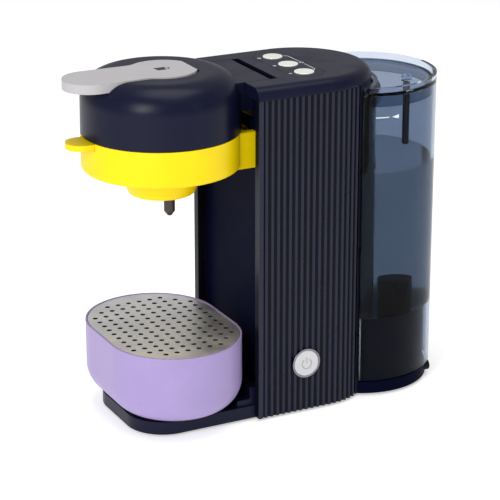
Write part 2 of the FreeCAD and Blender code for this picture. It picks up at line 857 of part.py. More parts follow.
def latch_bar():
    """The bar inside the dome that the lever's cam draws back."""
    y = (D.head_y - 50.0, D.head_y + 18.0)
    keep(slab(5.0, y, (D.dome_low + 20.0, D.dome_low + 24.0)), "latch_bar")


# ---------------------------------------------------------------- drip tray
def tray_plan(grow):
    """Corner list of the tray: straight front and rear, round ends."""
    depth = D.tray_half_depth + grow
    width = D.tray_half_width + grow
    end_x = width - depth
    return [
        (end_x, D.tray_y + depth, (end_x, D.tray_y, -1)),
        (end_x, D.tray_y - depth),
        (-end_x, D.tray_y - depth, (-end_x, D.tray_y, -1)),
        (-end_x, D.tray_y + depth),
    ]


def drip_tray():
    """The lilac tray with its deeply rounded bottom and a ledge for the grille."""
    body = new_body("tray_blank")
    plan = new_sketch(body, offset=D.tray_low)
    draw_outline(plan, tray_plan(0.0))
    pad(body, plan, D.tray_high - D.tray_low)
    fillet(body, D.tray_round, level_edge(D.tray_low))
    inside = new_body("tray_inside")
    plan = new_sketch(inside, offset=D.tray_low + D.tray_wall)
    draw_outline(plan, tray_plan(-D.tray_wall - 2.0))
    pad(inside, plan, D.tray_high - D.tray_low)
    fillet(inside, D.tray_round - D.tray_wall, level_edge(D.tray_low + D.tray_wall))
    rebate = new_body("tray_rebate")
    plan = new_sketch(rebate, offset=D.tray_high - D.grille_thick - 0.4)
    draw_outline(plan, tray_plan(-D.tray_rim))
    pad(rebate, plan, 5.0)
    doc.recompute()
    keep(cut(body, inside, rebate), "drip_tray")


GRILLE_ROWS = (4, 5, 6, 6, 6, 6, 6, 6, 5, 4)


def drip_grille():
    """The steel plate, pierced on a square grid with shorter rows at the front and rear."""
    body = new_body("grille_blank")
    low = D.tray_high - D.grille_thick - 0.3
    plan = new_sketch(body, offset=low)
    draw_outline(plan, tray_plan(-D.tray_rim - 0.35))
    pad(body, plan, D.grille_thick)
    holes = new_sketch(body, offset=low + D.grille_thick)
    rows = len(GRILLE_ROWS)
    for row, reach in enumerate(GRILLE_ROWS):
        y = D.tray_y + D.hole_pitch * (row - (rows - 1) / 2)
        for column in range(-reach, reach + 1):
            circle = Part.Circle(
                Vec((D.hole_pitch * column).value, y.value, 0), Vec(0, 0, 1), D.hole_radius.value
            )
            holes.addGeometry(circle, False)
    pocket(body, holes, D.grille_thick + 1.0)
    keep(body, "drip_grille")


# ---------------------------------------------------------------- water tank
def tank_round(radius, recess, z):
    """A round of the tank with the column's recess taken out of it."""
    column = cylinder(recess, D.body_arc_y, (z[0] - 1.0, z[1] + 1.0))
    front = slab(D.tank_radius + 5.0, (-40.0, D.body_arc_y), (z[0] - 1.0, z[1] + 1.0))
    return cut(cylinder(radius, D.tank_y, z), column, front)


def water_tank():
    """The clear tank: round outside, hollowed in front, with a skirt below its floor."""
    shell = tank_round(D.tank_radius, D.tank_recess, (D.tank_low, D.tank_high))
    water = tank_round(
        D.tank_radius - D.tank_wall, D.tank_recess + D.tank_wall, (D.tank_floor, D.tank_high + 1.0)
    )
    skirt = cylinder(
        D.tank_radius - D.tank_wall, D.tank_y, (D.tank_low - 1.0, D.tank_floor - D.tank_wall)
    )
    valve = cylinder(8.2, D.valve_y, (D.tank_floor - 5.0, D.tank_floor + 1.0))
    keep(cut(shell, water, skirt, valve), "water_tank")


def tank_lid():
    """The clear lid: a sunken deck inside a raised rim, with a curved finger tab."""
    cap = tank_round(D.tank_radius, D.tank_recess, (D.lid_deck, D.lid_high))
    sunk = tank_round(D.tank_radius - 3.2, D.tank_recess + 3.2, (D.lid_deck + 1.8, D.lid_high + 1.0))
    tab = cut(
        cylinder(4.6, 117.0, (D.lid_deck + 1.0, D.lid_high), x=30.0),
        cylinder(2.6, 117.0, (D.lid_deck, D.lid_high + 1.0), x=30.0),
        box((29.0, 42.0), (105.0, 131.0), (D.lid_deck, D.lid_high + 1.0)),
    )
    keep(fuse(cut(cap, sunk), tab), "tank_lid")


def tank_inside():
    """The lid's collar, the level guide under it, the tank's valve and its strainer."""
    z = (D.lid_deck - 9.0, D.lid_deck)
    outer = tank_round(D.tank_radius - D.tank_wall - 0.5, D.tank_recess + D.tank_wall + 0.5, z)
    inner = tank_round(D.tank_radius - D.tank_wall - 3.0, D.tank_recess + D.tank_wall + 3.0, z)
    keep(cut(outer, inner), "lid_collar")
    guide = box((26.8, 31.2), (115.2, 118.6), (D.lid_deck - 48.0, D.lid_deck))
    slit = box((28.1, 29.9), (115.0, 119.0), (D.lid_deck - 44.0, D.lid_deck - 12.0))
    keep(cut(guide, slit), "level_guide")
    stem = cylinder(5.0, D.valve_y, (D.pedestal_high + 0.6, D.tank_floor + 6.0))
    flange = cylinder(8.2, D.valve_y, (D.tank_floor - D.tank_wall, D.tank_floor))
    cap = cylinder(7.0, D.valve_y, (D.tank_floor + 5.0, D.tank_floor + 7.5))
    keep(fuse(stem, flange, cap), "tank_valve")
    mesh = cylinder(11.0, D.valve_y, (D.tank_floor, D.tank_floor + 14.0))
    hollow_mesh = cylinder(10.0, D.valve_y, (D.tank_floor - 1.0, D.tank_floor + 13.0))
    slot_span = (D.tank_floor + 3.0, D.tank_floor + 11.0)
    slots = [
        box((-12.0, 12.0), (D.valve_y + y - 1.0, D.valve_y + y + 1.0), slot_span)
        for y in (-5.0, 0.0, 5.0)
    ]
    keep(cut(mesh, hollow_mesh, *slots), "tank_strainer")


def inlet():
    """The socket that the tank's valve drops into, with its seal."""
    low = D.pedestal_high - 12.0
    socket = cylinder(9.0, D.valve_y, (low, D.pedestal_high - 1.0))
    spigot = cylinder(4.0, D.valve_y, (low - 6.0, low))
    seal_seat = cylinder(7.5, D.valve_y, (D.pedestal_high - 4.0, D.pedestal_high))
    way = cylinder(2.0, D.valve_y, (low - 7.0, D.pedestal_high))
    keep(cut(fuse(socket, spigot), seal_seat, way), "inlet_socket")
    seal = cylinder(7.3, D.valve_y, (D.pedestal_high - 3.9, D.pedestal_high - 1.2))
    keep(cut(seal, cylinder(4.0, D.valve_y, (low, D.pedestal_high))), "inlet_seal")


# ---------------------------------------------------------------- keys
def keys():
    """Three round keys, each a cap with a flange below the plate and a stem."""
    for label, x in (("left_key", -1.0), ("middle_key", 0.0), ("right_key", 1.0)):
        x = D.key_spacing * x
        top = D.cover_high + 0.7
        under = D.cover_high - D.cover_wall - 0.3
        cap = cylinder(D.key_radius, D.key_y, (under, top), x=x)
        cap = rounded(cap, 0.5, level_edge(top))
        flange = cylinder(D.key_radius + 1.2, D.key_y, (under - 1.2, under), x=x)
        stem = cylinder(2.0, D.key_y, (under - 1.8, under), x=x)
        keep(fuse(cap, flange, stem), label)
    switches = []
    for x in (-D.key_spacing, 0.0, D.key_spacing):
        base = box((x - 3.0, x + 3.0), (D.key_y - 3.0, D.key_y + 3.0), (251.2, 254.0))
        switches.append(fuse(base, cylinder(1.5, D.key_y, (254.0, 254.8), x=x)))
    keep(group(*switches), "key_switches")
    keep(slab(35.0, (D.key_y - 16.0, D.key_y + 15.0), (D.frame_high + 0.6, 251.2)), "control_board")


def power_key():
    """The round power key, its ring and the switch behind it."""
    place_at = (D.power_y, D.power_z)
    ring = rod(D.power_radius + 1.5, (D.body_half_width - 4.4, D.body_half_width + 1.0), *place_at)
    bore = rod(D.power_radius + 0.2, (40.0, 60.0), *place_at)
    keep(cut(ring, bore), "power_key_ring")
    cap = rod(D.power_radius, (D.body_half_width - 3.0, D.body_half_width + 1.4), *place_at)
    face = D.body_half_width + 1.4

    def face_edge(edge):
        return edge.BoundBox.XMin > face.value - 0.01

    cap = rounded(cap, 0.6, face_edge)
    stem = rod(3.0, (48.2, D.body_half_width - 2.5), *place_at)
    keep(fuse(cap, stem), "power_key")
    low = D.frame_wall_x + D.frame_wall
    module = box((low, 46.0), (D.power_y - 9.0, D.power_y + 9.0), (D.power_z - 7.0, D.power_z + 7.0))
    keep(fuse(module, rod(2.0, (45.0, 46.8), *place_at)), "power_switch")


# ---------------------------------------------------------------- water circuit
def hose(label, radius, bends, route):
    """A round hose along straight runs joined by tangent arcs of one radius."""
    edges = []
    start = Vec(*route[0])
    for before, corner, after in zip(route, route[1:], route[2:]):
        corner = Vec(*corner)
        back = (Vec(*before) - corner).normalize()
        ahead = (Vec(*after) - corner).normalize()
        half = back.getAngle(ahead) / 2
        reach = bends / math.tan(half)
        first, last = corner + back * reach, corner + ahead * reach
        inward = (back + ahead).normalize()
        middle = corner + inward * (bends / math.sin(half) - bends)
        edges.append(Part.LineSegment(start, first).toShape())
        edges.append(Part.Arc(first, middle, last).toShape())
        start = last
    edges.append(Part.LineSegment(start, Vec(*route[-1])).toShape())
    path = Part.Wire(edges)
    section = Part.Wire([Part.Circle(Vec(*route[0]), Vec(*route[1]) - Vec(*route[0]), radius).toShape()])
    shape = path.makePipeShell([section], True, False)
    print(label, "length", round(path.Length, 1), "fill", round(shape.Volume / path.Length, 2))
    item = doc.addObject("Part::Feature", label)
    item.Shape = shape
    keep(item, label)


def water_circuit():
    """Pump, flow meter, boiler and the hoses between them."""
    pump_x, pump_y = -14.0, 34.0
    coil = cylinder(17.0, pump_y, (46.0, 92.0), x=pump_x)
    ends = [
        cylinder(9.0, pump_y, (36.0, 46.0), x=pump_x),
        cylinder(8.0, pump_y, (92.0, 106.0), x=pump_x),
    ]
    keep(fuse(coil, *ends), "water_pump")
    mounts = [
        cut(cylinder(13.0, pump_y, z, x=pump_x), cylinder(low, pump_y, z, x=pump_x))
        for z, low in (((38.0, 44.0), 9.0), ((94.0, 99.0), 8.0))
    ]
    keep(group(*mounts), "pump_mounts")
    cradle = box((-28.0, 0.0), (20.0, 48.0), (D.plinth_high + 3.2, 38.0))
    inner = box((-24.0, -4.0), (19.0, 49.0), (D.plinth_high + 3.0, 34.0))
    nose = cylinder(9.5, pump_y, (30.0, 40.0), x=pump_x)
    keep(cut(cradle, inner, nose), "pump_cradle")
    meter = cylinder(11.0, 52.0, (D.plinth_high + 12.0, D.plinth_high + 24.0), x=20.0)
    foot = box((14.0, 26.0), (46.0, 58.0), (D.plinth_high + 3.2, D.plinth_high + 12.0))
    keep(fuse(meter, foot), "flow_meter")
    tank = cylinder(29.0, 42.0, (140.0, 186.0))
    lip = cylinder(32.0, 42.0, (160.0, 165.0))
    keep(fuse(tank, lip), "boiler")
    saddle = cut(slab(D.frame_wall_x, (38.0, 46.0), (150.0, 174.0)), cylinder(32.0, 42.0, (140.0, 190.0)))
    keep(saddle, "boiler_brackets")
    cup = D.pedestal_high - 18.0
    low = D.plinth_high.value + 20.0
    valve_y = D.valve_y.value
    from_cup = [(0, valve_y, cup.value), (0, valve_y, low), (0, 84, low), (18, 64.5, low)]
    hose("suction_hose", 3.0, 11.0, from_cup)
    hose("feed_hose", 3.0, 8.0, [(20, 52, 36), (20, 52, 60), (20, 20, 116), (-14, 34, 124), (-14, 34, 106)])
    hose("boiler_hose", 3.0, 10.0, [(0, 42, 186), (0, 42, 212), (0, 18, 226), (0, 4, 226)])
    keep(slab(8.0, (-4.0, 4.0), (220.0, 232.0)), "hinge_fitting")
    keep(box((-44.6, -43.0), (0.0, 50.0), (60.0, 160.0)), "power_board")
    parts = [box((-43.0, -40.6), (y, y + 12.0), (z, z + 16.0)) for y in (8.0, 28.0) for z in (70.0, 110.0)]
    keep(group(*parts), "board_parts")


def gland_and_screws():
    """The cable gland at the rear and the screws that hold the casing and the bracket."""
    gland = bar(D.gland_radius, D.gland_x, (D.tank_y + 41.0, D.tank_y + 46.5), D.gland_z)
    way = bar(D.gland_radius - 1.2, D.gland_x, (100.0, 160.0), D.gland_z)
    keep(cut(gland, way), "cable_gland")
    screws = [bar(1.5, x, (82.5, 91.5), z) for x in (-18.0, 18.0) for z in (90.0, 236.0)]
    keep(group(*screws), "cover_screws")
    keep(group(*bracket_bolts()), "bracket_screws")


base_plinth()
bottom_plate()
rubber_feet()
side_panel("right_side_panel", 1)
side_panel("left_side_panel", -1)
rear_cover()
top_cover()
key_plate()
column_front_cover()
tank_pedestal()
chassis()
capsule_bracket()
capsule_adapter()
outlet_nozzle()
head_shell()
lever()
head_inside()
hinge_pin()
latch_bar()
drip_tray()
drip_grille()
water_tank()
tank_lid()
tank_inside()
inlet()
keys()
power_key()
water_circuit()
gland_and_screws()

# ---------------------------------------------------------------- check and write
doc.recompute()
for item in doc.Objects:
    if "Invalid" in item.State or "Error" in item.State:
        raise RuntimeError(f"{item.Name} ({item.Label}) failed: {item.State}")
for item in SUBPARTS:
    if item.Shape.isNull() or not item.Shape.isValid():
        raise RuntimeError(f"{item.Label} has no valid shape")
for item in SUBPARTS:
    item.Shape.exportStep(os.path.join(OUT, f"{item.Label}.step"))
whole = FreeCAD.BoundBox()
for item in SUBPARTS:
    whole.add(item.Shape.BoundBox)
print(len(SUBPARTS), "sub-parts", whole)
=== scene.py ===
"""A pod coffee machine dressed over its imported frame: finishes, printed marks, water and studio."""

import logging
import math
from dataclasses import dataclass, field, replace
from enum import Enum

import bmesh
import bpy
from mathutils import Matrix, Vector


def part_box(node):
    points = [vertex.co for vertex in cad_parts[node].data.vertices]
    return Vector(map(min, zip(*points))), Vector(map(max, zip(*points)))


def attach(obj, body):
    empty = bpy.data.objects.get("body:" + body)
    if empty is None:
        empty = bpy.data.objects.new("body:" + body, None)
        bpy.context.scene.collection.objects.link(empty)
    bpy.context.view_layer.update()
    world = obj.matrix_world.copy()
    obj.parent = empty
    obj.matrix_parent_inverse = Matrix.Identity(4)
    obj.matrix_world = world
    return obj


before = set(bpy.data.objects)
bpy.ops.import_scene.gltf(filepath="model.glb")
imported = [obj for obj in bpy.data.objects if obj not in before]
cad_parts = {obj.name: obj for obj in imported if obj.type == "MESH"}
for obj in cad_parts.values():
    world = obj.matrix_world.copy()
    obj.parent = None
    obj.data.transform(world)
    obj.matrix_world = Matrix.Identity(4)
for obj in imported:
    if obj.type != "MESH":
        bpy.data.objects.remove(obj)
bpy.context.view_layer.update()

LOG = logging.getLogger("pod_coffee_machine")
MM = 0.001

COAT_ROUGH = 0.08
# A noise factor stays almost wholly within these limits.
NOISE_LIMITS = (0.3, 0.7)
# How far a normal turns at an edge, as a cosine, before the edge is rubbed.
RUBBED_EDGE = (0.97, 0.75)
RUBBED_TONE = 0.55
RUBBED_SHARE = 0.18
# How much darker the colour gets where shade is painted.
PAINTED_SHADE_AMOUNT = -0.86
GRAIN_DEPTH = 0.05 * MM
# Height of a normal between an upright face and a level one.
UPRIGHT_TO_LEVEL = (0.3, 0.7)

Point = tuple[float, float, float]
Colour = tuple[float, float, float]


class Grain(Enum):
    """How the fine texture of a finish runs."""

    MOULDED = "even spark-eroded grain"
    BRUSHED = "long scratches along X"
    SMOOTH = "polished, with a slow waviness"


class Nodes:
    """Short names for building one material's node tree."""

    def __init__(self, material: bpy.types.Material) -> None:
        """Start from an empty tree.

        Args:
            material: the material whose nodes are rebuilt.
        """
        material.use_nodes = True
        self.tree = material.node_tree
        self.tree.nodes.clear()

    def add(self, kind: str, **values: object) -> bpy.types.Node:
        """Add a node and set its properties or its sockets' values.

        Args:
            kind: the node's type name, without the ShaderNode prefix.
            values: properties or sockets by name, with spaces as underscores.

        Returns:
            The new node.
        """
        node = self.tree.nodes.new("ShaderNode" + kind)
        for name, value in values.items():
            if hasattr(node, name):
                setattr(node, name, value)
            else:
                node.inputs[name.replace("_", " ")].default_value = value
        return node

    def link(self, source: bpy.types.NodeSocket, target: bpy.types.NodeSocket) -> None:
        """Join two sockets."""
        self.tree.links.new(source, target)

    def ramp(self, source: bpy.types.NodeSocket, low: Colour, high: Colour) -> bpy.types.NodeSocket:
        """Turn a factor into a colour between two.

        Args:
            source: the factor.
            low: linear colour at the ramp's dark end.
            high: linear colour at the ramp's light end.

        Returns:
            The colour socket.
        """
        node = self.add("ValToRGB")
        first, second = node.color_ramp.elements
        first.position, second.position = NOISE_LIMITS
        first.color, second.color = (*low, 1.0), (*high, 1.0)
        self.link(source, node.inputs["Fac"])
        return node.outputs["Color"]

    def span(
        self,
        source: bpy.types.NodeSocket,
        from_limits: tuple[float, float],
        to_limits: tuple[float, float],
    ) -> bpy.types.NodeSocket:
        """Map a factor from one range to another.

        Args:
            source: the factor.
            from_limits: the range that it comes in.
            to_limits: the range that it leaves in.

        Returns:
            The mapped socket.
        """
        node = self.add("MapRange")
        for socket, value in zip(list(node.inputs)[1:5], (*from_limits, *to_limits)):
            socket.default_value = value
        self.link(source, node.inputs["Value"])
        return node.outputs["Result"]


def shade(colour: Colour, amount: float) -> Colour:
    """A colour made lighter or darker.

    Args:
        colour: linear colour.
        amount: 0 leaves it, 0.1 is a tenth lighter, -0.1 a tenth darker.

    Returns:
        The new linear colour.
    """
    return tuple(min(1.0, max(0.0, part * (1.0 + amount))) for part in colour)


@dataclass(frozen=True)
class ShadeZone:
    """A round zone about an upright axis, in metres, with the width that it fades over, inside which
    shade is painted.
    """

    centre_y: float
    radius: float
    fade: float


@dataclass(frozen=True)
class Finish:
    """One moulded, brushed or clear finish, with its wear and its fine texture."""

    name: str
    colour: Colour
    rough: float = 0.36
    rough_drift: float = 0.05
    mottle: float = 0.07
    mottle_size: float = 22 * MM
    grain: Grain = Grain.MOULDED
    grain_size: float = 0.35 * MM
    grain_depth: float = 0.10
    wear: float = 0.5
    edge: float = 0.45 * MM
    metallic: float = 0.0
    specular: float = 0.5
    coat: float = 0.0
    transmission: float = 0.0
    ior: float = 1.5
    subsurface: float = 0.0
    glow: float = 0.0
    # Where shade is painted into the colour: inside a round zone, and on upright faces.
    painted_shade_zone: ShadeZone | None = None
    painted_wall_shade: bool = False

    def material(self) -> bpy.types.Material:
        """Build the finish once and reuse it.

        Returns:
            The material.
        """
        made = bpy.data.materials.get(self.name)
        if made:
            return made
        made = bpy.data.materials.new(self.name)
        nodes = Nodes(made)
        shader = nodes.add("BsdfPrincipled")
        output = nodes.add("OutputMaterial")
        nodes.link(shader.outputs["BSDF"], output.inputs["Surface"])
        for socket, value in (
            ("Metallic", self.metallic),
            ("IOR", self.ior),
            ("Specular IOR Level", self.specular),
            ("Coat Weight", self.coat),
            ("Coat Roughness", COAT_ROUGH),
            ("Transmission Weight", self.transmission),
            ("Subsurface Weight", self.subsurface),
            ("Emission Strength", self.glow),
        ):
            shader.inputs[socket].default_value = value
        place = nodes.add("TexCoord").outputs["Object"]
        drift = nodes.add("TexNoise", Scale=1.0 / self.mottle_size, Detail=5.0, Roughness=0.6)
        nodes.link(place, drift.inputs["Vector"])
        base = nodes.ramp(
            drift.outputs["Fac"], shade(self.colour, -self.mottle), shade(self.colour, self.mottle)
        )
        # Painted shade inside a round zone about an upright axis.
        if self.painted_shade_zone:
            base = self._paint_shade(nodes, base, self._shade_zone_mask(nodes, place))
        # Painted shade on upright faces, such as the walls of holes.
        if self.painted_wall_shade:
            base = self._paint_shade(nodes, base, self._wall_shade_mask(nodes))
        rounding = nodes.add("Bevel", samples=4, Radius=self.edge)
        nodes.link(self._worn(nodes, base, rounding), shader.inputs["Base Color"])
        low, high = self.rough - self.rough_drift, self.rough + self.rough_drift
        rough = nodes.span(drift.outputs["Fac"], NOISE_LIMITS, (max(low, 0.0), high))
        nodes.link(rough, shader.inputs["Roughness"])
        bump = nodes.add("Bump", Strength=self.grain_depth, Distance=GRAIN_DEPTH)
        nodes.link(self._texture(nodes, place), bump.inputs["Height"])
        nodes.link(rounding.outputs["Normal"], bump.inputs["Normal"])
        nodes.link(bump.outputs["Normal"], shader.inputs["Normal"])
        return made

    def _paint_shade(
        self, nodes: Nodes, base: bpy.types.NodeSocket, near: bpy.types.NodeSocket
    ) -> bpy.types.NodeSocket:
        """Paint shade: take the colour down where a mask says so.

        Args:
            nodes: the tree under work.
            base: the colour elsewhere.
            near: the mask, 1 where shade is painted.

        Returns:
            The colour socket.
        """
        mix = nodes.add("Mix", data_type="RGBA")
        nodes.link(near, mix.inputs[0])
        nodes.link(base, mix.inputs[6])
        mix.inputs[7].default_value = (*shade(self.colour, PAINTED_SHADE_AMOUNT), 1.0)
        return mix.outputs[2]

    def _shade_zone_mask(self, nodes: Nodes, place: bpy.types.NodeSocket) -> bpy.types.NodeSocket:
        """Mask where shade is painted inside a radius: the tank's inner wall, the grooves between
        ribs.

        Args:
            nodes: the tree under work.
            place: object coordinates.

        Returns:
            The mask.
        """
        core = self.painted_shade_zone
        flat = nodes.add("VectorMath", operation="MULTIPLY_ADD")
        nodes.link(place, flat.inputs[0])
        flat.inputs[1].default_value = (1.0, 1.0, 0.0)
        flat.inputs[2].default_value = (0.0, -core.centre_y, 0.0)
        behind = nodes.add("VectorMath", operation="MAXIMUM")
        nodes.link(flat.outputs["Vector"], behind.inputs[0])
        # In front of the axis, only the distance from the machine's middle plane counts.
        behind.inputs[1].default_value = (-1.0, 0.0, 0.0)
        reach = nodes.add("VectorMath", operation="LENGTH")
        nodes.link(behind.outputs["Vector"], reach.inputs[0])
        edge = (core.radius, core.radius + core.fade)
        return nodes.span(reach.outputs["Value"], edge, (1.0, 0.0))

    def _wall_shade_mask(self, nodes: Nodes) -> bpy.types.NodeSocket:
        """Mask the upright faces, such as the walls of punched holes, where shade is painted.

        Args:
            nodes: the tree under work.

        Returns:
            The mask.
        """
        parts = nodes.add("SeparateXYZ")
        nodes.link(nodes.add("NewGeometry").outputs["Normal"], parts.inputs["Vector"])
        steep = nodes.add("Math", operation="ABSOLUTE")
        nodes.link(parts.outputs["Z"], steep.inputs[0])
        return nodes.span(steep.outputs["Value"], UPRIGHT_TO_LEVEL, (1.0, 0.0))

    def _worn(
        self, nodes: Nodes, base: bpy.types.NodeSocket, rounding: bpy.types.Node
    ) -> bpy.types.NodeSocket:
        """Lighten the rubbed edges of a base colour.

        Args:
            nodes: the tree under work.
            base: the colour away from the edges.
            rounding: the bevel node that finds the edges.

        Returns:
            The worn colour.
        """
        facing = nodes.add("VectorMath", operation="DOT_PRODUCT")
        nodes.link(rounding.outputs["Normal"], facing.inputs[0])
        nodes.link(nodes.add("NewGeometry").outputs["Normal"], facing.inputs[1])
        edge = nodes.span(facing.outputs["Value"], RUBBED_EDGE, (0.0, self.wear))
        mix = nodes.add("Mix", data_type="RGBA")
        nodes.link(edge, mix.inputs[0])
        nodes.link(base, mix.inputs[6])
        lifted = tuple(part + (RUBBED_TONE - part) * RUBBED_SHARE for part in self.colour)
        mix.inputs[7].default_value = (*lifted, 1.0)
        return mix.outputs[2]

    def _texture(self, nodes: Nodes, place: bpy.types.NodeSocket) -> bpy.types.NodeSocket:
        """The height field of the fine grain.

        Args:
            nodes: the tree under work.
            place: object coordinates.

        Returns:
            The height socket.
        """
        stretch = {
            Grain.MOULDED: (1.0, 1.0, 1.0),
            Grain.BRUSHED: (0.015, 1.0, 1.0),
            Grain.SMOOTH: (0.05, 0.05, 0.05),
        }[self.grain]
        mapping = nodes.add("Mapping", Scale=stretch)
        nodes.link(place, mapping.inputs["Vector"])
        fine = nodes.add("TexNoise", Scale=1.0 / self.grain_size, Detail=3.0, Roughness=0.55)
        nodes.link(mapping.outputs["Vector"], fine.inputs["Vector"])
        return fine.outputs["Fac"]


NAVY = Finish(
    "navy_shell", (0.0040, 0.0048, 0.0200), rough=0.34, grain_depth=0.10, wear=0.12, specular=0.16
)
# The ribbed sides are the shell's navy plastic in a lighter colour, a painted highlight on the rib
# crowns, with painted shade in the grooves inside 54 mm.
NAVY_RIBS_LIT_AND_SHADED = Finish(
    "navy_ribs_painted_light",
    (0.023, 0.025, 0.046),
    rough=0.30,
    grain_depth=0.08,
    wear=0.10,
    specular=0.10,
    painted_shade_zone=ShadeZone(38.5 * MM, 54.0 * MM, 1.5 * MM),
)
# A darker, almost unreflecting copy of the navy shell: painted shade on the column's front under the
# head and on the tank's pedestal.
NAVY_SHADED_COPY = Finish(
    "navy_painted_shade", (0.0020, 0.0026, 0.0140), rough=0.42, grain_depth=0.12, wear=0.05, specular=0.01
)
BLACK = Finish(
    "black_moulding", (0.003, 0.003, 0.006), rough=0.5, grain_depth=0.2, wear=0.08, specular=0.15
)
YELLOW = Finish(
    "yellow_moulding", (0.90, 0.65, 0.0), rough=0.40, mottle=0.03, wear=0.06, specular=0.22
)
LILAC = Finish(
    "lilac_moulding", (0.34, 0.265, 0.51), rough=0.38, mottle=0.03, wear=0.10, specular=0.3
)
LEVER_GREY = Finish(
    "lever_grey", (0.44, 0.425, 0.435), rough=0.45, mottle=0.03, wear=0.15, specular=0.3
)
KEY_WHITE = Finish("key_white", (0.82, 0.81, 0.76), rough=0.26, mottle=0.02, coat=0.4)
POWER_GREY = Finish("power_grey", (0.56, 0.56, 0.58), rough=0.3, mottle=0.03, coat=0.3)
SPOUT_BROWN = Finish("spout_brown", (0.035, 0.022, 0.018), rough=0.45)
PRINT_WHITE = Finish("print_white", (0.75, 0.75, 0.78), rough=0.55, edge=0.02 * MM, wear=0.0)
PRINT_DARK = Finish("print_dark", (0.02, 0.022, 0.04), rough=0.5, edge=0.02 * MM, wear=0.0)
PRINT_GREY = Finish("print_grey", (0.33, 0.33, 0.35), rough=0.4, edge=0.02 * MM, wear=0.0)
DARK_CHROME = Finish(
    "dark_chrome", (0.22, 0.22, 0.25), rough=0.16, metallic=1.0, grain=Grain.SMOOTH, wear=0.6
)
STEEL = Finish(
    "brushed_plate",
    (0.90, 0.89, 0.89),
    rough=0.44,
    rough_drift=0.06,
    mottle=0.05,
    metallic=1.0,
    grain=Grain.BRUSHED,
    grain_size=0.12 * MM,
    grain_depth=0.45,
    wear=0.0,
    # Painted shade on the walls of the punched holes.
    painted_wall_shade=True,
)
BRIGHT_STEEL = Finish("bright_steel", (0.62, 0.62, 0.63), rough=0.22, metallic=1.0)
ALUMINIUM = Finish("cast_aluminium", (0.52, 0.52, 0.54), rough=0.45, metallic=1.0, grain_depth=0.4)
RUBBER = Finish("soft_rubber", (0.016, 0.016, 0.018), rough=0.7, grain_depth=0.4, specular=0.3)
SILICONE = Finish("silicone", (0.7, 0.7, 0.67), rough=0.35, subsurface=0.2)
BOARD = Finish("board_green", (0.01, 0.09, 0.04), rough=0.4, mottle=0.2, mottle_size=3 * MM)
FRAME_GREY = Finish(
    "frame_nylon", (0.018, 0.018, 0.022), rough=0.55, grain_depth=0.4, wear=0.1, specular=0.2
)
CLEAR_LID = Finish(
    "clear_lid",
    (0.68, 0.74, 0.86),
    rough=0.02,
    rough_drift=0.01,
    mottle=0.02,
    grain=Grain.SMOOTH,
    grain_depth=0.05,
    wear=0.0,
    edge=0.3 * MM,
    specular=0.08,
    transmission=1.0,
    ior=1.16,
)
# The tank's own blue tint, with painted shade on its inner wall round the column's recess, so the
# tank looks dark where the dark column stands behind it.
CLEAR_TANK = replace(
    CLEAR_LID,
    name="tinted_tank_painted_shade",
    colour=(0.33, 0.39, 0.49),
    painted_shade_zone=ShadeZone(38.5 * MM, 59.8 * MM, 0.4 * MM),
)
CLEAR_COLLAR = replace(CLEAR_LID, name="clear_collar", colour=(0.30, 0.37, 0.46))
WATER = Finish(
    "still_water",
    (0.38, 0.42, 0.44),
    rough=0.0,
    rough_drift=0.0,
    mottle=0.01,
    grain=Grain.SMOOTH,
    grain_depth=0.02,
    wear=0.0,
    edge=0.1 * MM,
    specular=0.08,
    transmission=1.0,
    ior=1.14,
)
WATER_TOP = replace(WATER, name="water_surface", colour=(0.94, 0.97, 1.0))
FLOOR = Finish(
    "pale_floor",
    (0.86, 0.86, 0.86),
    rough=0.7,
    mottle=0.01,
    mottle_size=0.4,
    wear=0.0,
    specular=0.1,
    glow=0.42,
)


def dress(finish: Finish, *nodes: str) -> None:
    """Give CAD nodes a finish and report it.

    Args:
        finish: the finish.
        nodes: names of the CAD nodes.
    """
    for name in nodes:
        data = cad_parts[name].data
        data.materials.clear()
        data.materials.append(finish.material())
        LOG.info("%s wears %s", name, finish.name)


def new_piece(name: str, mesh: bmesh.types.BMesh, finish: Finish, body: str) -> bpy.types.Object:
    """Turn a finished bmesh into a piece that rides on a body.

    Args:
        name: the piece's name.
        mesh: its geometry, in metres, which is freed.
        finish: its finish.
        body: the body that it moves with.

    Returns:
        The object.
    """
    bmesh.ops.recalc_face_normals(mesh, faces=mesh.faces)
    data = bpy.data.meshes.new(name)
    mesh.to_mesh(data)
    mesh.free()
    data.materials.append(finish.material())
    piece = bpy.data.objects.new(name, data)
    bpy.context.scene.collection.objects.link(piece)
    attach(piece, body)
    LOG.info("%s built with %d faces on %s", name, len(data.polygons), body)
    return piece


